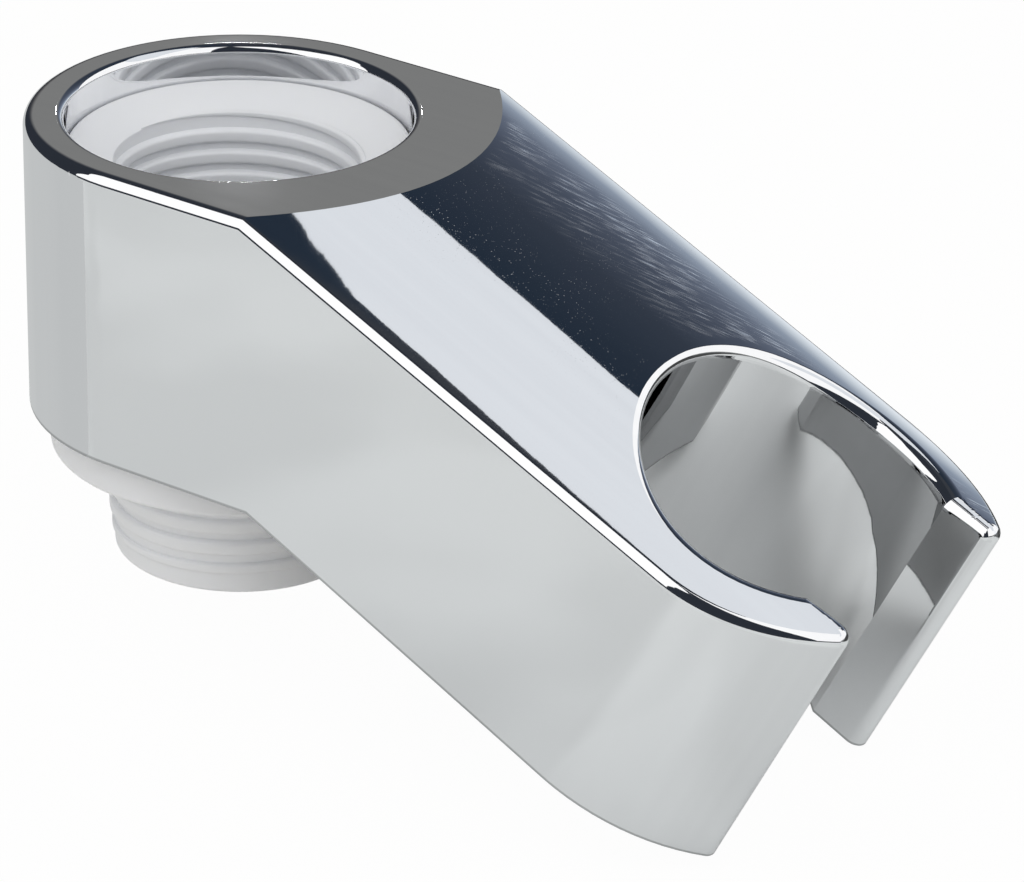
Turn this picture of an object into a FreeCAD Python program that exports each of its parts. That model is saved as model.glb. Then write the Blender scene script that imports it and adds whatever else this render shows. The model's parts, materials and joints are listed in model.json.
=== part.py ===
# Hand shower holder that screws onto a half-inch shower arm.
# Three pieces: the plated body with its sloping forked arm, the white threaded
# insert that the body turns on, and the washer in the inlet.
# Millimetres, +Z up. The origin is on the axis of the threads, where the inlet
# thread's full wall begins. The arm points along +X.

import math
import os

import FreeCAD
import Part

Vec = FreeCAD.Vector

# Half-inch pipe thread, 14 to the inch
thread_major_r = 20.955 / 2
thread_minor_r = 18.631 / 2

# Body
body_r = 16.6                # ring outside, half the arm's width, fork outside
body_h = 23.9                # height of the ring
wall = 2.6                   # moulded wall over the cored underside
edge_fillet = 0.95           # top edges round the outside
hole_chamfer = 0.65          # rim of the ring's hole
crest_x = 12.5               # where the arm leaves the flat top, at its sides
heel_x = 13.7                # where the arm leaves the flat bottom
top_slope = 24.3             # degrees below level, the arm's top
bottom_slope = 25.5          # the arm's underside
crown_h = 3.2                # rise of the arm's top from its sides to its middle

# Fork
fork_tilt = 26.7             # degrees, the fork bore's lean from the vertical
fork_reach = 42.3            # from the crest at the sides to the bore's axis
fork_r = 12.3                # bore that takes the handset's cone
slot_w = 18.7                # gap for the hose
tip_round = 1.1              # upright edges of the two tips
rim_fillet_back = 0.7        # rim of the bore, at the arm
rim_fillet_tips = 1.2        # rim of the bore and of the slot, at the tips

# Insert
insert_r = 13.35             # barrel the body turns on
turning_gap = 0.10           # between the barrel and the body's hole, on radius
mouth_depth = 5.0            # flat top down to the inlet thread's full wall
lip_depth = 2.65             # flat top down to the insert's lip
mouth_r = 10.55              # wide end of the inlet's lead-in
inlet_len = 9.6              # full thread wall in the inlet
washer_r = 9.85
washer_h = 2.0
waterway_r = 6.5
relief_gap = 0.05            # round the washer in its recess
flange_r = 15.0
flange_h = 3.7
flange_chamfer = 0.5
flange_clear = 0.4           # round the flange where the arm drops past it
nipple_len = 9.05            # male thread below the flange
nipple_chamfer = 0.9

# Snap bead that keeps the body on the insert
bead_h = 0.30
bead_half_w = 0.6
bead_z = -1.9
groove_clear = 0.15          # above and below the bead

# Cored underside
ring_wall = 2.55             # left round the ring's hole
fork_wall = 2.4              # left round the fork's bore
rib_w = 2.0                  # rib down the middle of the pocket
rib_setback = 2.0            # how far the rib stops inside the underside

# Worked out from the above
flat_z = mouth_depth
base_z = flat_z - body_h
hole_r = insert_r + turning_gap
slot_half = slot_w / 2
crown_r = (body_r ** 2 + crown_h ** 2) / (2 * crown_h)
crest = Vec(crest_x, 0, flat_z)
flange_bottom = base_z - flange_h
nipple_bottom = flange_bottom - nipple_len
seat_z = -inlet_len - washer_h
far = 120.0                  # longer than the whole part, for cutting bodies


def revolved(points):
    """Turn a closed outline of (radius, height) points round the Z axis."""
    corners = [Vec(r, 0, z) for r, z in points]
    face = Part.Face(Part.makePolygon(corners + corners[:1]))
    return face.revolve(Vec(0, 0, 0), Vec(0, 0, 1), 360)


def slab(points, half_width):
    """Push a closed outline of (x, z) points out to both sides along Y."""
    corners = [Vec(x, -half_width, z) for x, z in points]
    face = Part.Face(Part.makePolygon(corners + corners[:1]))
    return face.extrude(Vec(0, 2 * half_width, 0))


def arc(cx, cy, r, start, end):
    """Plan arc round (cx, cy) from one angle to another, in degrees."""
    a, b = math.radians(start), math.radians(end)
    p = [Vec(cx + r * math.cos(t), cy + r * math.sin(t), 0) for t in (a, (a + b) / 2, b)]
    return Part.Arc(*p).toShape()


def line(a, b):
    return Part.makeLine(Vec(a[0], a[1], 0), Vec(b[0], b[1], 0))


def lean(shape, tilt):
    """Stand a shape drawn on the ground plane up at the crest, leaning by tilt."""
    placed = shape.copy()
    placed.Placement = FreeCAD.Placement(crest, FreeCAD.Rotation(Vec(0, 1, 0), tilt)).multiply(placed.Placement)
    return placed


def crown(inset):
    """Long cylinder whose upper side is the arm's curved top, set in by inset."""
    bar = Part.makeCylinder(crown_r - inset, 2 * far, Vec(-far, 0, crown_h - crown_r), Vec(1, 0, 0))
    return lean(bar, top_slope)


def side_profile(raise_by, top):
    """Region between the underside, raised, and a level top."""
    drop = (far - heel_x) * math.tan(math.radians(bottom_slope))
    low = base_z + raise_by
    return slab([(-far, low), (heel_x, low), (far, low - drop), (far, top), (-far, top)], far)


def fork_plan():
    """Outline of the arm and fork seen along the bore's axis."""
    start = 2.0
    corner = slot_half + tip_round
    tip = fork_reach + math.sqrt((body_r - tip_round) ** 2 - corner ** 2)
    turn = math.degrees(math.atan2(corner, tip - fork_reach))
    mouth = math.degrees(math.asin(slot_half / fork_r))
    mouth_u = fork_reach + fork_r * math.cos(math.radians(mouth))
    edges = [
        line((start, -body_r), (fork_reach, -body_r)),
        arc(fork_reach, 0, body_r, -90, -turn),
        arc(tip, -corner, tip_round, -turn, 90),
        line((tip, -slot_half), (mouth_u, -slot_half)),
        arc(fork_reach, 0, fork_r, 360 - mouth, mouth),
        line((mouth_u, slot_half), (tip, slot_half)),
        arc(tip, corner, tip_round, -90, turn),
        arc(fork_reach, 0, body_r, turn, 90),
        line((fork_reach, body_r), (start, body_r)),
        line((start, body_r), (start, -body_r)),
    ]
    return Part.Face(Part.Wire(edges))


def along(tilt, direction):
    return FreeCAD.Rotation(Vec(0, 1, 0), tilt).multVec(direction)


def off_axis(point, centre, direction):
    """Distance from a point to the line through centre."""
    return (point - centre).cross(direction).Length


def middle(edge):
    return edge.valueAt((edge.FirstParameter + edge.LastParameter) / 2)


def ring_and_neck():
    """Flat-topped ring with its hole, run on under the arm's top."""
    blank = Part.makeCylinder(body_r, far, Vec(0, 0, flat_z - far))
    blank = blank.fuse(Part.makeBox(far, 2 * body_r, far, Vec(0, -body_r, flat_z - far))).removeSplitter()
    blank = blank.cut(Part.makeCylinder(hole_r, 2 * far, Vec(0, 0, -far)))
    top = [e for e in blank.Edges if e.BoundBox.ZMin > flat_z - 0.01]
    hole = [e for e in top if e.BoundBox.XMax < hole_r + 0.01 and e.isClosed()]
    outside = [e for e in top if not e.isClosed() and e.BoundBox.XMin < far - 0.01]
    return blank.makeFillet(edge_fillet, outside).makeChamfer(hole_chamfer, hole)


def rounded(blank, radii):
    """Fillet a blank; radii gives an edge's two radii, or None to leave it sharp."""
    scratch = FreeCAD.newDocument()
    base = scratch.addObject("Part::Feature", "blank")
    base.Shape = blank
    fillet = scratch.addObject("Part::Fillet", "fillet")
    fillet.Base = base
    chosen = [(number, radii(edge)) for number, edge in enumerate(blank.Edges, 1)]
    fillet.Edges = [(number, pair[0], pair[1]) for number, pair in chosen if pair]
    scratch.recompute()
    return fillet.Shape.copy()


def fork_radii(edge):
    """Radii for the edges along the arm's curved top, growing round the bore."""
    ridge, uphill = along(top_slope, Vec(1, 0, 0)), along(top_slope, Vec(0, 0, 1))
    at = middle(edge)
    on_top = abs(off_axis(at, crest + uphill * (crown_h - crown_r), ridge) - crown_r) < 0.001
    if not on_top or at.x < -body_r:
        return None
    bore = crest + along(fork_tilt, Vec(1, 0, 0)) * fork_reach
    if abs(off_axis(at, bore, along(fork_tilt, Vec(0, 0, 1))) - fork_r) < 0.001:
        starts_at_back = abs(edge.valueAt(edge.FirstParameter).y) < 0.01
        pair = (rim_fillet_back, rim_fillet_tips)
        return pair if starts_at_back else pair[::-1]
    if abs(abs(at.y) - slot_half) < 0.001:
        return rim_fillet_tips, rim_fillet_tips
    return edge_fillet, edge_fillet


def arm_and_fork():
    """Crowned arm with its fork, run on above the ring."""
    lead = Part.makeBox(crest_x + 6 + 2 * body_r, 2 * body_r, 2 * far, Vec(-2 * body_r, -body_r, -far))
    fork = lean(fork_plan().extrude(Vec(0, 0, 2 * far)).translated(Vec(0, 0, -far)), fork_tilt)
    blank = lead.fuse(fork).common(side_profile(0, far)).common(crown(0)).removeSplitter()
    return rounded(blank, fork_radii)


def pocket():
    """Hollow under the arm, between the ring's wall and the fork's wall."""
    inside = Part.makeBox(far, 2 * (body_r - wall), far, Vec(0, wall - body_r, -far / 2))
    inside = inside.common(crown(wall)).common(side_profile(-far, flat_z - wall))
    beyond = lean(Part.makeBox(far, far, 2 * far, Vec(fork_reach, -far / 2, -far)), fork_tilt)
    boss = lean(Part.makeCylinder(fork_r + fork_wall, 2 * far, Vec(fork_reach, 0, -far)), fork_tilt)
    collar = Part.makeCylinder(hole_r + ring_wall, 2 * far, Vec(0, 0, -far))
    rib = Part.makeBox(far, rib_w, 2 * far, Vec(0, -rib_w / 2, -far)).common(side_profile(rib_setback, far))
    return inside.cut([beyond, boss, collar, rib])


def snap_groove():
    """Groove inside the hole for the insert's bead."""
    half = bead_half_w + groove_clear
    return revolved([(hole_r, bead_z + half), (hole_r + bead_h, bead_z), (hole_r, bead_z - half)])


def make_body():
    shell = ring_and_neck().common(arm_and_fork())
    under_ring = Part.makeCylinder(flange_r + flange_clear, far, Vec(0, 0, base_z - far))
    return shell.cut([pocket(), snap_groove(), under_ring]).removeSplitter()


def make_insert():
    """Barrel, lip, inlet, flange and nipple, as one turned outline from the lip inwards."""
    lip_z = flat_z - lip_depth
    lead_in = mouth_r - thread_minor_r
    recess_r = washer_r + relief_gap
    return revolved([
        (thread_minor_r, 0), (mouth_r, lead_in), (insert_r, lip_z),
        (insert_r, bead_z + bead_half_w), (insert_r + bead_h, bead_z), (insert_r, bead_z - bead_half_w),
        (insert_r, base_z), (flange_r, base_z), (flange_r, flange_bottom + flange_chamfer),
        (flange_r - flange_chamfer, flange_bottom), (thread_major_r, flange_bottom),
        (thread_major_r, nipple_bottom + nipple_chamfer), (thread_major_r - nipple_chamfer, nipple_bottom),
        (waterway_r, nipple_bottom), (waterway_r, seat_z), (recess_r, seat_z),
        (recess_r, -inlet_len), (thread_minor_r, -inlet_len),
    ])


def make_washer():
    """Flat washer on the seat below the inlet thread."""
    return revolved([(waterway_r, seat_z), (washer_r, seat_z), (washer_r, seat_z + washer_h), (waterway_r, seat_z + washer_h)])


pieces = {
    "holder_body": make_body(),
    "threaded_insert": make_insert(),
    "sealing_washer": make_washer(),
}
os.makedirs("parts", exist_ok=True)
for name, shape in pieces.items():
    shape.Solids[0].exportStep(os.path.join("parts", name + ".step"))
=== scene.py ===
import json
import math

import bmesh
import bpy
import numpy as np
from mathutils import Matrix, Vector

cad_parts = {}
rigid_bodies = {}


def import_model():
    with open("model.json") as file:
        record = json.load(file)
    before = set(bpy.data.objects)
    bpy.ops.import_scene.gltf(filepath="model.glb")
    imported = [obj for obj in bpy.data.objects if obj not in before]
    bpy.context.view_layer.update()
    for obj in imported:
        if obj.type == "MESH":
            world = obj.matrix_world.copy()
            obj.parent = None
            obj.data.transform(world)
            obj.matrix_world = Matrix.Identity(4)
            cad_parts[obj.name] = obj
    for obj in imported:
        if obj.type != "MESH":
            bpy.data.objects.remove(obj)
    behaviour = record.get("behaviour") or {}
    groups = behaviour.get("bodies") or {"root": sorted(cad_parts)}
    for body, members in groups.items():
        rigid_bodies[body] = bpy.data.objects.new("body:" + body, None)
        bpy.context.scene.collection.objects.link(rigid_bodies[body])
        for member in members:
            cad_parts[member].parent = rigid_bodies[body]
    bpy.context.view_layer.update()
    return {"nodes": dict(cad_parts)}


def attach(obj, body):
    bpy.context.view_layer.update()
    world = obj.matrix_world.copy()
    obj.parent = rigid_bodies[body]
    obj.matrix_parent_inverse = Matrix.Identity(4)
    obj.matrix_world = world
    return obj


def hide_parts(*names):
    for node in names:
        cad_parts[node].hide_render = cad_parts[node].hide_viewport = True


# Hand shower holder: a plated body with a forked arm turns on a white threaded insert

for default in list(bpy.data.objects):
    bpy.data.objects.remove(default)
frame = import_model()
mm = 0.001

# Sizes shared with the solids, in millimetres and radians
body_r, base_z, flat_z = 16.6, -18.9, 5.0
edge_round, hole_r, hole_round = 0.95, 13.45, 0.65
crest_x, heel_x = 12.5, 13.7
top_slope, fork_tilt, under_slope = math.radians(24.3), math.radians(26.7), math.radians(25.5)
crown_h = 3.2
crown_r = (body_r ** 2 + crown_h ** 2) / (2 * crown_h)
fork_reach, fork_r, slot_half, tip_round = 42.3, 12.3, 9.35, 1.1
rim_back, rim_tips = 0.7, 1.2
wall, ring_wall, fork_wall, rib_half = 2.6, 2.55, 2.4, 1.0
barrel_r, lip_z = 13.35, 2.35
bead_h, bead_half, bead_z = 0.30, 0.6, -1.9
flange_r, flange_z, flange_clear = 15.0, -22.6, 0.4
nipple_z, waterway_r = -31.65, 6.5
recess_r, recess_z, seat_z = 9.9, -9.6, -11.6
thread_major_r, thread_minor_r, pitch = 10.4775, 9.3155, 1.814


def linked(name, data):
    """New object in the scene for a mesh, a lamp or a camera."""
    made = bpy.data.objects.new(name, data)
    bpy.context.collection.objects.link(made)
    return made


def level_ring(work, r, z, around):
    """New points round Z at one height, in millimetres."""
    angles = (i / around * 2 * math.pi for i in range(around))
    return [work.verts.new((r * mm * math.cos(t), r * mm * math.sin(t), z * mm)) for t in angles]


def leaned(angle, x, y, z):
    """A direction turned down by angle from the level, as the arm is."""
    return np.array([x * math.cos(angle) + z * math.sin(angle), y, z * math.cos(angle) - x * math.sin(angle)])


up, across = np.array([0.0, 0, 1]), np.array([0.0, 1, 0])
crest = np.array([crest_x, 0.0, flat_z])
ridge, over = leaned(top_slope, 1, 0, 0), leaned(top_slope, 0, 0, 1)
crown_at = crest + over * (crown_h - crown_r)
outward, bore_axis = leaned(fork_tilt, 1, 0, 0), leaned(fork_tilt, 0, 0, 1)
bore = crest + outward * fork_reach
tip_y = slot_half + tip_round
tip = crest + outward * (fork_reach + math.sqrt((body_r - tip_round) ** 2 - tip_y ** 2))


# Surfaces of the body, each giving how far points lie off it and its normals there

no_zero = 1e-6
off_surface = 99


def lengths(vectors):
    return np.maximum(np.linalg.norm(vectors, axis=1), no_zero)


def dots(first, second):
    return np.einsum("ij,ij->i", first, second)


def plane(point, normal):
    def at(points):
        return np.abs((points - point) @ normal), np.tile(normal, (len(points), 1))
    return at


def from_axis(points, point, axis):
    away = points - point
    return away - np.outer(away @ axis, axis)


def cylinder(point, axis, radius, side=1):
    """Round wall, with side 1 where the plastic is inside it and -1 where it is outside."""
    def at(points):
        away = from_axis(points, point, axis)
        r = lengths(away)
        return np.abs(r - radius), side * away / r[:, None]
    return at


def ring_round(height, major, minor):
    """Rounding that runs round Z at a height, with its centre at the major radius."""
    def at(points):
        level = points * [1, 1, 0]
        away = points - (level / lengths(level)[:, None] * major + [0, 0, height])
        length = lengths(away)
        return np.abs(length - minor), away / length[:, None]
    return at


def rolling_ball(first, second, radius):
    """Blend rolled between two round walls, each a point, an axis, a radius and a side as in cylinder."""
    steps, slack, margin = 30, 0.045, 0.03

    def at(points):
        ball = points.copy()
        size = radius(points)
        for _ in range(steps):
            out, off = [], []
            for point, axis, r, side in (first, second):
                away = from_axis(ball, point, axis)
                length = lengths(away)
                out.append(away / length[:, None])
                off.append(length - (r - side * size))
            share = dots(*out)
            scale = 1 / (1 - share ** 2)
            ball = ball - ((off[0] - share * off[1]) * scale)[:, None] * out[0]
            ball = ball - ((off[1] - share * off[0]) * scale)[:, None] * out[1]
            track = np.cross(*out)
            track /= lengths(track)[:, None]
            ball = ball + track * dots(points - ball, track)[:, None]
        normal = points - ball
        length = lengths(normal)
        normal = normal / length[:, None]
        walls = [out[0] * first[3], out[1] * second[3]]
        beyond = np.minimum(*(dots(normal, w) for w in walls)) < dots(*walls) - margin
        return np.where(beyond, off_surface, np.maximum(np.abs(length - size) - slack, 0)), normal
    return at


def slot_edge(side):
    """Rounding between the crown and the slot, whose radius is solved at each point."""
    smallest, largest, halvings = 0.3, 2.2, 24
    valid_from, valid_to, starts_at = 0.4, 2.1, 8.0

    def at(points):
        high_up, out = (points - crown_at) @ over, side * points[:, 1]
        low, high = np.full(len(points), smallest), np.full(len(points), largest)
        for _ in range(halvings):
            r = (low + high) / 2
            centre_up = np.sqrt(np.maximum((crown_r - r) ** 2 - (slot_half + r) ** 2, 0))
            wide = np.hypot(high_up - centre_up, out - slot_half - r) > r
            low, high = np.where(wide, low, r), np.where(wide, r, high)
        inside = (r > valid_from) & (r < valid_to) & ((points - bore) @ outward > starts_at)
        normal = np.outer(high_up - centre_up, over) + np.outer(side * (out - slot_half - r), across)
        return np.where(inside, 0, off_surface), normal / lengths(normal)[:, None]
    return at


def tip_ball(side):
    """Ball-shaped corner over the rounded upright edge of a tip."""
    slack, margin = 0.15, 0.05
    level = math.sqrt((crown_r - tip_round) ** 2 - tip_y ** 2)
    onto = tip + bore_axis * ((crown_at + over * level - tip) @ over / (bore_axis @ over))
    centre = onto + side * tip_y * across

    def at(points):
        away = points - centre
        length = lengths(away)
        ahead = (away @ outward > -margin) & (away @ over > -margin)
        off = np.maximum(np.abs(length - tip_round) - slack, 0)
        return np.where(ahead, off, off_surface), away / length[:, None]
    return at


def rim_radius(points):
    """Radius of the bore's rim, which grows from the arm to the tips."""
    away = points - bore
    mouth = math.pi - math.asin(slot_half / fork_r)
    round_bore = np.arctan2(np.abs(away[:, 1]), -(away @ outward))
    return rim_back + (rim_tips - rim_back) * np.clip(round_bore / mouth, 0, 1)


def edge_radius(points):
    return np.full(len(points), edge_round)


def body_surfaces():
    inner_side, origin = body_r - edge_round, np.zeros(3)
    level = flat_z - edge_round
    sink = math.sqrt((crown_r - edge_round) ** 2 - inner_side ** 2)
    rim_y = slot_half + rim_tips
    rim_sink = math.sqrt((crown_r - rim_tips) ** 2 - rim_y ** 2)
    crown_wall = (crown_at, ridge, crown_r, 1)
    found = [
        rolling_ball(crown_wall, (bore, bore_axis, body_r, 1), edge_radius),
        rolling_ball(crown_wall, (bore, bore_axis, fork_r, -1), rim_radius),
        plane(crest, up), plane(base_z * up, -up),
        plane(np.array([heel_x, 0, base_z]), -leaned(under_slope, 0, 0, 1)),
        plane((flat_z - wall) * up, -up), plane(bore, -outward),
        cylinder(origin, up, body_r), cylinder(origin, up, hole_r, -1),
        cylinder(origin, up, hole_r + ring_wall), cylinder(origin, up, flange_r + flange_clear, -1),
        cylinder(crown_at, ridge, crown_r), cylinder(crown_at, ridge, crown_r - wall, -1),
        cylinder(bore, bore_axis, fork_r, -1), cylinder(bore, bore_axis, body_r),
        cylinder(bore, bore_axis, fork_r + fork_wall),
        ring_round(level, inner_side, edge_round),
        ring_round(flat_z - hole_round, hole_r + hole_round, hole_round),
    ]
    for side in (1, -1):
        y = side * across
        found += [
            plane(y * body_r, y), plane(y * (body_r - wall), -y), plane(y * rib_half, y), plane(y * slot_half, -y),
            cylinder(y * inner_side + up * level, np.array([1.0, 0, 0]), edge_round),
            cylinder(crown_at + over * sink + y * inner_side, ridge, edge_round),
            cylinder(crown_at + over * rim_sink + y * rim_y, ridge, rim_tips),
            cylinder(tip + y * tip_y, bore_axis, tip_round), slot_edge(side), tip_ball(side),
        ]
    return found


def exact_normals(mesh, surfaces):
    """Set each corner's normal from the surface its face lies on, or from its neighbours in the small blends."""
    within, better_by = 0.06, 1e-4
    same_way, close_kin, kin = 0.97, 0.90, 0.75
    points = np.array([v.co for v in mesh.vertices]) / mm
    faces = np.array([p.vertices for p in mesh.polygons])
    a, b, c = (points[faces[:, i]] for i in range(3))
    flat = np.cross(b - a, c - a)
    area = np.linalg.norm(flat, axis=1)
    flat = flat / np.maximum(area, 1e-12)[:, None]
    owner = np.full(len(faces), -1)
    nearest = np.full(len(faces), within)
    corner = np.zeros((len(faces), 3, 3))
    for number, surface in enumerate(surfaces):
        off, normal = surface(points)
        middle = normal[faces].mean(axis=1)
        middle /= np.linalg.norm(middle, axis=1)[:, None]
        farthest = off[faces].max(axis=1)
        fits = (farthest < nearest - better_by) & (dots(middle, flat) > same_way)
        owner[fits] = number
        nearest[fits] = farthest[fits]
        corner[fits] = normal[faces[fits]]
    known, loose = {}, {}
    for f, owned in enumerate(owner):
        for i, v in enumerate(faces[f]):
            if owned >= 0:
                known.setdefault(v, []).append(corner[f, i])
            else:
                loose.setdefault(v, []).append(f)
    for f in np.flatnonzero(owner < 0):
        for i, v in enumerate(faces[f]):
            near = [n for n in known.get(v, ()) if n @ flat[f] > close_kin]
            if near:
                best = max(near, key=lambda n: n @ flat[f])
            else:
                best = sum(flat[g] * area[g] for g in loose[v] if flat[g] @ flat[f] > kin)
            corner[f, i] = best / max(np.linalg.norm(best), 1e-9)
    mesh.shade_smooth()
    mesh.normals_split_custom_set(corner.reshape(-1, 3).tolist())


def zip_rings(work, lower, upper):
    """Join two level rings of points round Z with triangles that face the axis or up."""
    def in_turn(ring):
        ring = sorted(ring, key=lambda v: math.atan2(v.co.y, v.co.x))
        angles = [math.atan2(v.co.y, v.co.x) for v in ring]
        return ring + ring[:1], angles + [angles[0] + 2 * math.pi]

    (low, low_at), (high, high_at) = in_turn(lower), in_turn(upper)
    i = j = 0
    while i < len(low) - 1 or j < len(high) - 1:
        if j == len(high) - 1 or (i < len(low) - 1 and low_at[i + 1] < high_at[j + 1]):
            work.faces.new((low[i + 1], low[i], high[j]))
            i += 1
        else:
            work.faces.new((low[i], high[j], high[j + 1]))
            j += 1


def plated_body():
    """The body's own mesh, welded, with the rim of its hole rounded and exact normals for clean reflections."""
    rim_rows, rim_around, near = 8, 192, 0.01
    mesh = frame["nodes"]["holder_body"].data.copy()
    mesh.name = "plated_body"
    mesh.materials.clear()
    while mesh.attributes.get("custom_normal"):
        mesh.attributes.remove(mesh.attributes["custom_normal"])
    work = bmesh.new()
    work.from_mesh(mesh)
    bmesh.ops.remove_doubles(work, verts=work.verts, dist=2e-6)
    low = flat_z - hole_round

    def on_rim(v):
        r, z = math.hypot(v.co.x, v.co.y) / mm, v.co.z / mm
        return abs((r - hole_r) - (z - low)) < near and low - near < z

    # The solid's flat chamfer comes out, and rows of points on a quarter circle go in
    rim = [f for f in work.faces if all(on_rim(v) for v in f.verts)]
    bmesh.ops.delete(work, geom=rim, context="FACES_ONLY")
    bmesh.ops.delete(work, geom=[e for e in work.edges if not e.link_faces], context="EDGES")
    edge = [v for v in work.verts if on_rim(v) and any(e.is_boundary for e in v.link_edges)]
    middle = (low + hole_round / 2) * mm
    rows = [[v for v in edge if v.co.z < middle]]
    for step in range(1, rim_rows):
        turn = step / rim_rows * math.pi / 2
        r, z = hole_r + hole_round * (1 - math.cos(turn)), low + hole_round * math.sin(turn)
        rows.append(level_ring(work, r, z, rim_around))
    rows.append([v for v in edge if v.co.z > middle])
    for lower, upper in zip(rows, rows[1:]):
        zip_rings(work, lower, upper)
    bmesh.ops.triangulate(work, faces=work.faces)
    work.to_mesh(mesh)
    work.free()
    exact_normals(mesh, body_surfaces())
    return linked("plated_body", mesh)


def place_camera(azimuth, elevation, roll, distance, focus, lens):
    """Camera that looks at a focus in millimetres, from an azimuth to the right of the front."""
    azimuth, elevation, roll = (math.radians(a) for a in (azimuth, elevation, roll))
    level = math.cos(elevation)
    back = Vector((math.sin(azimuth) * level, -math.cos(azimuth) * level, math.sin(elevation)))
    right = Vector((math.cos(azimuth), math.sin(azimuth), 0))
    above = back.cross(right)
    turned_right = right * math.cos(roll) + above * math.sin(roll)
    turned_up = above * math.cos(roll) - right * math.sin(roll)
    data = bpy.data.cameras.new("camera")
    data.lens, data.sensor_width, data.sensor_fit = lens, 36, "HORIZONTAL"
    data.clip_start, data.clip_end = 0.01, 20
    camera = linked("camera", data)
    place = Matrix((turned_right, turned_up, back)).transposed().to_4x4()
    place.translation = Vector(focus) * mm + back * distance * mm
    camera.matrix_world = place
    bpy.context.scene.camera = camera


# Threaded insert and its two threads

def rounded_corners(*outline):
    """Outline from (radius, height) or (radius, height, rounding), with each rounding drawn as a small arc."""
    steps = 5
    drawn = []
    for i, corner in enumerate(outline):
        here = Vector(corner[:2])
        if len(corner) < 3:
            drawn.append(here)
            continue
        before = (Vector(outline[i - 1][:2]) - here).normalized()
        after = (Vector(outline[(i + 1) % len(outline)][:2]) - here).normalized()
        half = before.angle(after) / 2
        reach = corner[2] / math.tan(half)
        centre = here + (before + after).normalized() * (corner[2] / math.sin(half))
        start, end = here + before * reach - centre, here + after * reach - centre
        turn = start.angle_signed(end)
        for k in range(steps + 1):
            angle = -turn * k / steps
            c, s = math.cos(angle), math.sin(angle)
            drawn.append(centre + Vector((start.x * c - start.y * s, start.x * s + start.y * c)))
    return drawn


def turned(name, outline):
    """Solid of revolution round Z from a closed outline in millimetres."""
    around, sharp_past = 180, math.radians(32)
    work = bmesh.new()
    rings = [level_ring(work, r, z, around) for r, z in outline]
    for ring, after in zip(rings, rings[1:] + rings[:1]):
        for i in range(around):
            j = (i + 1) % around
            work.faces.new((ring[i], ring[j], after[j], after[i]))
    bmesh.ops.recalc_face_normals(work, faces=work.faces)
    mesh = bpy.data.meshes.new(name)
    work.to_mesh(mesh)
    work.free()
    mesh.shade_smooth()
    mesh.set_sharp_from_angle(angle=sharp_past)
    return linked(name, mesh)


def thread_tree():
    """Ridge of a thread: a rounded tooth carried up a helix, running out to nothing at both ends."""
    tree = bpy.data.node_groups.new("thread_ridge", "GeometryNodeTree")
    for name in ("Pitch", "Wall Radius", "Turns", "Bottom", "Tooth", "Foot", "Root Width", "Crest Width",
                 "Facing", "Run Out"):
        tree.interface.new_socket(name, in_out="INPUT", socket_type="NodeSocketFloat")
    tree.interface.new_socket("Material", in_out="INPUT", socket_type="NodeSocketMaterial")
    tree.interface.new_socket("Geometry", in_out="OUTPUT", socket_type="NodeSocketGeometry")
    given = tree.nodes.new("NodeGroupInput").outputs

    def node(kind, settings=None, **values):
        made = tree.nodes.new(kind)
        for key, value in (settings or {}).items():
            setattr(made, key, value)
        for key, value in values.items():
            target = made.inputs[int(key[1:])] if key[1:].isdigit() else made.inputs[key.replace("_", " ")]
            if isinstance(value, bpy.types.NodeSocket):
                tree.links.new(value, target)
            else:
                target.default_value = value
        return made.outputs[0]

    def maths(operation, a, b):
        return node("ShaderNodeMath", {"operation": operation}, _0=a, _1=b)

    helix = node("GeometryNodeCurveSpiral", Resolution=72, Rotations=given["Turns"],
                 Start_Radius=given["Wall Radius"], End_Radius=given["Wall Radius"],
                 Height=maths("MULTIPLY", given["Pitch"], given["Turns"]), Reverse=True)
    upright = node("GeometryNodeSetCurveNormal", {"mode": "Z_UP"}, Curve=helix)
    tooth = node("GeometryNodeCurvePrimitiveQuadrilateral", {"mode": "TRAPEZOID"},
                 Bottom_Width=given["Root Width"], Top_Width=given["Crest Width"],
                 Height=maths("ADD", given["Tooth"], given["Foot"]), Offset=0.0)
    rounded = node("GeometryNodeFilletCurve", {"mode": "POLY"}, Curve=tooth, Count=4,
                   Radius=maths("MULTIPLY", given["Crest Width"], 0.35), Limit_Radius=True)
    # The tooth's foot goes into the wall and its crest out of it, or inwards where Facing is -1
    out = maths("MULTIPLY", maths("SUBTRACT", given["Tooth"], given["Foot"]), given["Facing"])
    profile = node("GeometryNodeTransform", Geometry=rounded,
                   Translation=node("ShaderNodeCombineXYZ", X=maths("MULTIPLY", out, 0.5)),
                   Rotation=node("ShaderNodeCombineXYZ", Z=maths("MULTIPLY", given["Facing"], -math.pi / 2)))
    along = tree.nodes.new("GeometryNodeSplineParameter").outputs["Factor"]
    end = maths("MINIMUM", along, maths("SUBTRACT", 1.0, along))
    full = node("ShaderNodeClamp",
                Value=maths("DIVIDE", maths("MULTIPLY", end, given["Turns"]), given["Run Out"]))
    least = 0.08
    swept = node("GeometryNodeCurveToMesh", Curve=upright, Profile_Curve=profile,
                 Scale=maths("ADD", maths("MULTIPLY", full, 1 - least), least), Fill_Caps=True)
    placed = node("GeometryNodeTransform", Geometry=swept,
                  Translation=node("ShaderNodeCombineXYZ", Z=given["Bottom"]))
    real = node("GeometryNodeRealizeInstances", Geometry=placed)
    finish = node("GeometryNodeSetMaterial", Geometry=real, Material=given["Material"])
    tree.links.new(finish, tree.nodes.new("NodeGroupOutput").inputs[0])
    return tree


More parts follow.
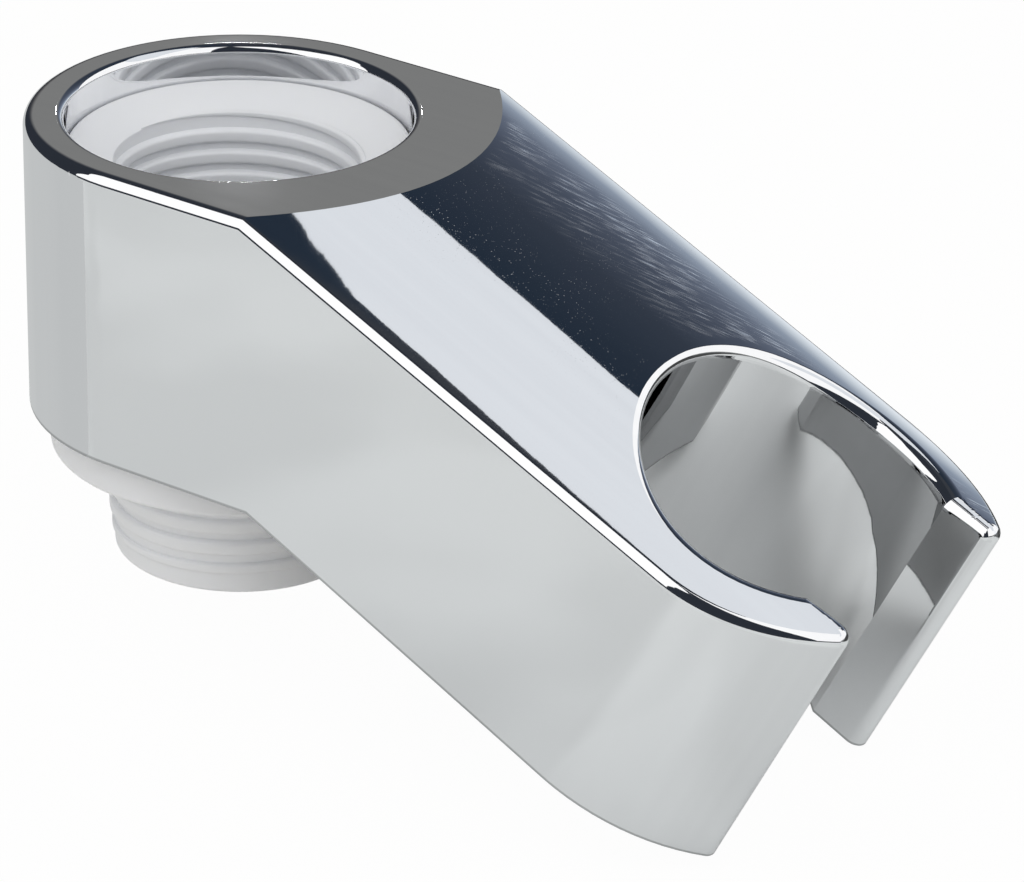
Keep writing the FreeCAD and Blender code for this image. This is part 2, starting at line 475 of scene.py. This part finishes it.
def thread(name, tree, material, **sizes):
    """One thread's ridge as a plain mesh."""
    piece = linked(name, bpy.data.meshes.new(name))
    modifier = piece.modifiers.new("thread_ridge", "NODES")
    modifier.node_group = tree
    for socket in tree.interface.items_tree:
        if socket.in_out == "INPUT":
            size = sizes.get(socket.name.replace(" ", "_"))
            modifier[socket.identifier] = material if socket.name == "Material" else float(size)
    graph = bpy.context.evaluated_depsgraph_get()
    mesh = bpy.data.meshes.new_from_object(piece.evaluated_get(graph), depsgraph=graph)
    piece.modifiers.clear()
    piece.data = mesh
    work = bmesh.new()
    work.from_mesh(mesh)
    bmesh.ops.remove_doubles(work, verts=work.verts, dist=1e-7)
    bmesh.ops.recalc_face_normals(work, faces=work.faces)
    work.to_mesh(mesh)
    work.free()
    mesh.shade_smooth()
    mesh.set_sharp_from_angle(angle=math.radians(50))
    return piece


# Materials

class Wire:
    """A socket of a shader that adds maths nodes when it is used in an expression."""

    def __init__(self, shader, socket):
        self.shader, self.socket = shader, socket

    def maths(self, operation, *others):
        return self.shader.maths(operation, self, *others)

    def __add__(self, other): return self.maths("ADD", other)
    def __radd__(self, other): return self.maths("ADD", other)
    def __mul__(self, other): return self.maths("MULTIPLY", other)
    def __rmul__(self, other): return self.maths("MULTIPLY", other)
    def __sub__(self, other): return self.maths("SUBTRACT", other)
    def __rsub__(self, other): return self.shader.maths("SUBTRACT", other, self)
    def __truediv__(self, other): return self.maths("DIVIDE", other)
    def __pow__(self, other): return self.maths("POWER", other)

    def between(self, low, high):
        """0 at low, 1 at high, smooth in between."""
        smooth = {"interpolation_type": "SMOOTHSTEP"}
        return self.shader.node("ShaderNodeMapRange", smooth, self, low, high, 0.0, 1.0)[0]


class Shader:
    """A node tree with one method that makes any node, and short names for the ones used most."""

    def __init__(self, owner):
        owner.use_nodes = True
        self.tree = owner.node_tree
        self.tree.nodes.clear()

    def node(self, kind, settings, *values, **named):
        made = self.tree.nodes.new(kind)
        for key, value in settings.items():
            if key == "stops":
                ramp = made.color_ramp.elements
                while len(ramp) < len(value):
                    ramp.new(1)
                for stop, (place, colour) in zip(ramp, value):
                    stop.position, stop.color = place, (*colour, 1)
            else:
                setattr(made, key, value)
        for key, value in list(enumerate(values)) + [(k.replace("_", " "), v) for k, v in named.items()]:
            if isinstance(value, Wire):
                self.tree.links.new(value.socket, made.inputs[key])
            else:
                made.inputs[key].default_value = value
        return [Wire(self, s) for s in made.outputs]

    def maths(self, operation, *values):
        return self.node("ShaderNodeMath", {"operation": operation}, *values)[0]

    def place(self):
        """Position on the piece, in metres."""
        return self.node("ShaderNodeTexCoord", {})[3]

    def split(self, where):
        return self.node("ShaderNodeSeparateXYZ", {}, where)

    def mapped(self, where, turn, scale):
        return self.node("ShaderNodeMapping", {}, where, (0, 0, 0), turn, scale)[0]

    def noise(self, where, scale, detail, rough=0.5):
        return self.node("ShaderNodeTexNoise", {}, Vector=where, Scale=scale, Detail=detail, Roughness=rough)[0]

    def mix(self, factor, a, b):
        made = self.tree.nodes.new("ShaderNodeMix")
        made.data_type = "RGBA"
        for socket, value in ((made.inputs[0], factor), (made.inputs[6], a), (made.inputs[7], b)):
            if isinstance(value, Wire):
                self.tree.links.new(value.socket, socket)
            else:
                socket.default_value = (*value, 1)
        return Wire(self, made.outputs[2])

    def ramp(self, factor, *stops):
        return self.node("ShaderNodeValToRGB", {"stops": stops}, factor)[0]

    def bump(self, height, strength, distance):
        return self.node("ShaderNodeBump", {}, Strength=strength, Distance=distance, Height=height)[0]

    def plain_shell(self, **looks):
        """Finish the material with one surface all over."""
        self.finish(self.node("ShaderNodeBsdfPrincipled", {}, **looks)[0])

    def finish(self, surface, kind="ShaderNodeOutputMaterial"):
        self.node(kind, {}, Surface=surface)


def chrome_plate():
    """Bright plate, with masks that find the crowned top of the arm by its place in metres."""
    material = bpy.data.materials.new("chrome_plate")
    s = Shader(material)
    where = s.place()
    x, y, z = s.split(where)
    haze = s.noise(where, 55.0, 3.0)
    pits = s.noise(where, 1400.0, 2.0)
    swell = s.noise(where, 260.0, 1.0)
    # Where the crowned top lies, short of the flat ring and of the bore's rim
    top_fall, top_bulge, fork_cos, fork_sin = 0.4515, 12.7, 0.8934, 0.4493
    crown = (z + x * top_fall + y * y * top_bulge).between(0.0132, 0.0138) * (1.0 - z.between(0.0045, 0.0049))
    reach = (x - 0.0503) * fork_cos - (z + 0.0140) * fork_sin
    crown = crown * ((reach * reach + y * y) ** 0.5).between(0.0136, 0.0142)
    # Buffing scratches on the slope, across the arm and bent round towards the fork, with a painted bluish-white
    # sheen on them
    scratch_turn, scratch_bend = math.radians(-33), 0.0012
    along = s.mapped(where, (0, 0, scratch_turn), (1.0, 1.0, 0.4))
    bend = s.node("ShaderNodeCombineXYZ", {}, 0.0, s.noise(where, 45.0, 1.0) * scratch_bend, 0.0)[0]
    bent = s.node("ShaderNodeVectorMath", {"operation": "ADD"}, along, bend)[0]
    hairs = s.noise(s.mapped(bent, (0, 0, 0), (420.0, 3400.0, 420.0)), 1.0, 2.0, 0.6).between(0.46, 0.8)
    patches = s.noise(where, 230.0, 3.0).between(0.3, 0.6)
    scratches_and_sheen = hairs * (crown * y.between(0.002, 0.0085) * (1.0 - y.between(0.0108, 0.0132)) * patches)
    # Specks of dust on the near half, and a faint film drawn out along the arm
    specks = s.node("ShaderNodeTexVoronoi", {}, Vector=where, Scale=3400.0)[0]
    patchy = s.noise(where, 110.0, 2.0).between(0.42, 0.62)
    dust = (1.0 - specks.between(0.06, 0.2)) * patchy * crown * y.between(-0.012, -0.004)
    film = s.noise(s.mapped(where, (0, 0, 0), (20.0, 900.0, 20.0)), 1.0, 2.0)
    # Painted highlight: the scratches take a bluish-white colour and the metal is turned down there, so they show as
    # bright lines
    tone = s.mix(scratches_and_sheen, s.mix(film, (0.86, 0.865, 0.88), (0.93, 0.935, 0.945)), (0.72, 0.84, 1.0))
    # Painted shade: a thin dark line along the lower edge, where the body meets the flange
    above = z + s.maths("MAXIMUM", x - heel_x * mm, 0.0) * math.tan(under_slope) - base_z * mm
    tone = s.mix(above.between(0.00012, 0.00030), (0.50, 0.505, 0.51), tone)
    s.plain_shell(Base_Color=tone, Metallic=1.0 - dust * 0.12 - scratches_and_sheen * 0.55,
                  Roughness=0.018 + haze * 0.02 + dust * 0.25,
                  Normal=s.bump(pits * 0.05 + swell * 0.6 + scratches_and_sheen * 1.2, 0.12, 0.0001))
    return material


def white_plastic():
    """Satin moulded plastic that lets a little light in."""
    material = bpy.data.materials.new("white_plastic")
    s = Shader(material)
    where = s.place()
    cloud = s.noise(where, 90.0, 2.0)
    s.plain_shell(Base_Color=s.mix(cloud, (0.89, 0.905, 0.94), (0.92, 0.935, 0.96)), Roughness=0.30 + cloud * 0.12,
                  Normal=s.bump(s.noise(where, 900.0, 4.0), 0.08, 0.0002),
                  Subsurface_Weight=0.15, Subsurface_Radius=(0.0012, 0.0012, 0.0014), Subsurface_Scale=1.0)
    return material


def washer_rubber():
    """Matte black rubber with some pale dust."""
    material = bpy.data.materials.new("washer_rubber")
    s = Shader(material)
    where = s.place()
    grain = s.noise(where, 1200.0, 5.0)
    dust = s.noise(where, 160.0, 3.0).between(0.55, 0.8)
    s.plain_shell(Base_Color=s.mix(dust, (0.045, 0.045, 0.048), (0.10, 0.10, 0.10)), Roughness=0.62 + grain * 0.2,
                  Normal=s.bump(grain, 0.3, 0.0003))
    return material


chrome, white, rubber = chrome_plate(), white_plastic(), washer_rubber()

# The part

body = plated_body()
body.data.materials.append(chrome)

# The walls between the threads' turns stand back from the crests, which lie at the solids' own radii
inlet_tooth, outlet_tooth = 0.42, 0.42
inlet_wall, outlet_wall = thread_minor_r + inlet_tooth, thread_major_r - outlet_tooth
lead_in_z, recess_chamfer = 0.91, 0.2
neck_step, neck_round, undercut_top, undercut_low = 0.05, 0.25, -23.3, -23.9
insert = turned("threaded_insert_white", rounded_corners(
    (inlet_wall, lead_in_z, 0.15), (barrel_r, lip_z, 0.3), (barrel_r, bead_z + bead_half),
    (barrel_r + bead_h, bead_z), (barrel_r, bead_z - bead_half), (barrel_r, base_z), (flange_r, base_z, 0.15),
    (flange_r, flange_z, 0.45), (thread_major_r + neck_step, flange_z, neck_round),
    (outlet_wall + 0.3, undercut_top, 0.3), (outlet_wall, undercut_low), (outlet_wall, nipple_z, 0.35),
    (waterway_r, nipple_z, 0.3), (waterway_r, seat_z), (recess_r, seat_z), (recess_r, recess_z),
    (inlet_wall, recess_z + recess_chamfer)))
insert.data.materials.append(white)
ridges = thread_tree()
shared = dict(Pitch=pitch * mm, Foot=0.5 * mm, Root_Width=1.78 * mm)
inlet_ridge = thread("inlet_thread_ridge", ridges, white, Wall_Radius=inlet_wall * mm, Bottom=-9.0 * mm, Turns=5.5,
                     Tooth=inlet_tooth * mm, Crest_Width=0.9 * mm, Facing=-1.0, Run_Out=0.5, **shared)
outlet_ridge = thread("outlet_thread_ridge", ridges, white, Wall_Radius=outlet_wall * mm, Bottom=-31.0 * mm,
                      Turns=4.0, Tooth=outlet_tooth * mm, Crest_Width=0.95 * mm, Facing=1.0, Run_Out=1.2, **shared)

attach(body, "holder")
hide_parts("holder_body")
for piece in (insert, inlet_ridge, outlet_ridge):
    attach(piece, "insert")
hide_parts("threaded_insert")
washer = frame["nodes"]["sealing_washer"]
washer.material_slots[0].material = rubber

# Studio, in metres

floor_z, sill_z = -0.0385, -0.0383
dome_distance = 0.9


def sheet(name, points, faces, material):
    """Thin piece of the studio."""
    mesh = bpy.data.meshes.new(name)
    mesh.from_pydata(points, [], faces)
    mesh.materials.append(material)
    return linked(name, mesh)


def reflector(name, points, faces, tone):
    """Glowing panel that only polished surfaces see."""
    material = bpy.data.materials.new(name)
    s = Shader(material)
    s.finish(s.node("ShaderNodeEmission", {}, Color=(*tone, 1), Strength=1.0)[0])
    panel = sheet(name, points, faces, material)
    panel.visible_camera = panel.visible_diffuse = panel.visible_shadow = panel.visible_transmission = False


def flat_card(name, outline, tone):
    reflector(name, outline, [tuple(range(len(outline)))], tone)


def bearing(azimuth, elevation):
    """Point of the dome seen from the part at an azimuth from the front, turning to the right, and an elevation."""
    a, e = math.radians(azimuth), math.radians(elevation)
    away = Vector((math.sin(a) * math.cos(e), -math.cos(a) * math.cos(e), math.sin(e)))
    return Vector((0.025, 0, -0.01)) + dome_distance * away


def dome_card(name, bands, tone):
    """Panel curved round the part, from bands of (elevation, azimuth of its left edge, azimuth of its right edge)."""
    columns = 12
    row = columns + 1
    points = [bearing(left + (right - left) * i / columns, up) for up, left, right in bands for i in range(row)]
    faces = [(j * row + i, j * row + i + 1, (j + 1) * row + i + 1, (j + 1) * row + i)
             for j in range(len(bands) - 1) for i in range(columns)]
    reflector(name, points, faces, tone)


def floor_paper():
    """White to the camera, and with painted shade where the chrome sees it."""
    material = bpy.data.materials.new("floor_paper")
    s = Shader(material)
    lights = s.node("ShaderNodeLightPath", {})
    camera_ray, glossy_ray, depth = lights[0], lights[3], lights[9]
    x, y, z = s.split(s.place())
    # Painted shade: the floor is darker for rays that have bounced once or twice, as inside the bore
    bounce_shade = (1.0 - depth.between(1.3, 1.7) * 0.38) * (1.0 - depth.between(2.3, 2.7) * 0.35)
    # Painted shade: a dark patch on the floor behind the part
    behind = y.between(0.043, 0.052) * (y + x * 1.2).between(-0.01, 0.012)
    uneven = s.noise(s.place(), 28.0, 2.0).between(0.38, 0.62)
    # Painted light: a lighter stripe across the floor under the fork
    painted_light_streak = x.between(0.034, 0.040) * (1.0 - x.between(0.054, 0.060))
    # The painted shade and light reach only rays from the chrome, which also see a cooler tint; other rays see the
    # floor evenly pale
    clear = bounce_shade * (1.0 - behind * 0.9) * (0.88 + uneven * 0.10 + painted_light_streak * 0.07) + (1.0 - glossy_ray)
    tint = s.mix(glossy_ray, (0.92, 0.90, 0.86), (0.875, 0.9, 0.895))
    pale = s.node("ShaderNodeBsdfDiffuse", {}, Color=s.mix(clear, (0.0, 0.0, 0.0), tint))[0]
    glow = s.node("ShaderNodeEmission", {}, Color=(1, 1, 1, 1), Strength=1.0)[0]
    s.finish(s.node("ShaderNodeMixShader", {}, camera_ray * 0.97, pale, glow)[0])
    return material


def studio_sky():
    """White to the camera, plain grey light on the part, and a dark room with a pale horizon for the chrome."""
    world = bpy.data.worlds.new("studio")
    s = Shader(world)
    lights = s.node("ShaderNodeLightPath", {})
    camera_ray, glossy_ray, clear_ray = lights[0], lights[3], lights[6]
    x, y, height = s.split(s.node("ShaderNodeTexCoord", {})[0])
    behind = y / (x * x + y * y) ** 0.5
    neutral = s.ramp(height, (0.0, (0.04, 0.04, 0.045)), (0.18, (0.06, 0.06, 0.065)), (0.31, (0.16, 0.16, 0.16)),
                     (0.35, (0.205, 0.207, 0.205)), (0.45, (0.21, 0.213, 0.21)), (0.52, (0.14, 0.14, 0.145)),
                     (0.66, (0.04, 0.045, 0.055)))
    bluish = s.ramp(height, (0.0, (0.03, 0.03, 0.03)), (0.03, (0.82, 0.87, 0.92)), (0.075, (0.60, 0.66, 0.72)),
                    (0.14, (0.28, 0.33, 0.41)), (0.24, (0.13, 0.155, 0.21)), (0.38, (0.07, 0.085, 0.12)),
                    (0.58, (0.035, 0.045, 0.065)), (0.8, (0.018, 0.028, 0.045)))
    sky = s.mix(behind.between(0.83, 0.94), neutral, bluish)
    tent = s.mix(behind.between(0.45, 0.68), (0.025, 0.03, 0.04), sky)
    plain = s.mix(camera_ray + clear_ray, (0.62, 0.62, 0.62), (1.0, 1.0, 1.0))
    s.finish(s.node("ShaderNodeBackground", {}, s.mix(glossy_ray, plain, tent), 1.0)[0], "ShaderNodeOutputWorld")
    return world


def top_lamp():
    data = bpy.data.lights.new("top_lamp", "AREA")
    data.shape, data.size, data.size_y, data.energy = "RECTANGLE", 0.6, 0.4, 0.9
    lamp = linked("top_lamp", data)
    lamp.location = (0.16, -0.26, 0.44)
    lamp.rotation_euler = (Vector((0.02, 0, -0.02)) - lamp.location).to_track_quat("-Z", "Y").to_euler()
    lamp.visible_glossy = lamp.visible_camera = False


flat_card("top_panel", [(-0.9, 0.275, 0.4), (0.9, 0.275, 0.4), (0.9, 0.10, 0.4), (0.20, 0.02, 0.4),
                        (0.055, 0.055, 0.4), (-0.051, 0.275, 0.4)], (0.77, 0.80, 0.84))
dome_card("front_panel", [(3.5, -54, -8), (20, -55, -1), (34, -57, 7), (45, -70, 13), (52, -80, 20), (56, -84, 25),
                          (61, -55, 30), (68, -22, 37), (74, -8, 42)], (1.12, 1.12, 1.12))
dome_card("right_sill", [(-4, 78, 130), (3.5, 78, 130)], (0.2, 0.21, 0.21))
dome_card("right_panel", [(3.5, 56, 165), (40, 55, 165), (60, 54, 165), (74, 50, 165)], (1.05, 1.05, 1.05))
# Painted shade: a grey glowing card lying on the floor at the left, darker than the floor, which only the chrome sees
flat_card("left_paper", [(-0.034, -0.041, sill_z), (-0.40, -0.32, sill_z), (-0.45, 0.4, sill_z), (-0.31, 0.4, sill_z),
                         (-0.05, 0.04, sill_z)], (0.565, 0.58, 0.58))
flat_card("far_lamp", [(-0.525, 0.6455, 0.343), (-0.513, 0.6555, 0.343), (-0.513, 0.6555, 0.349),
                       (-0.525, 0.6455, 0.349)], (60.0, 60.5, 62.0))
floor = sheet("floor", [(-0.45, -0.19, floor_z), (0.5, -0.19, floor_z), (0.5, 0.45, floor_z), (-0.45, 0.45, floor_z)],
              [(0, 1, 2, 3)], floor_paper())
top_lamp()
bpy.context.scene.world = studio_sky()
place_camera(azimuth=35.27, elevation=25.915, roll=1.149, distance=396.782, focus=(24.218, 2.933, -17.171),
             lens=181.87)
bpy.context.scene.view_settings.view_transform = "Standard"
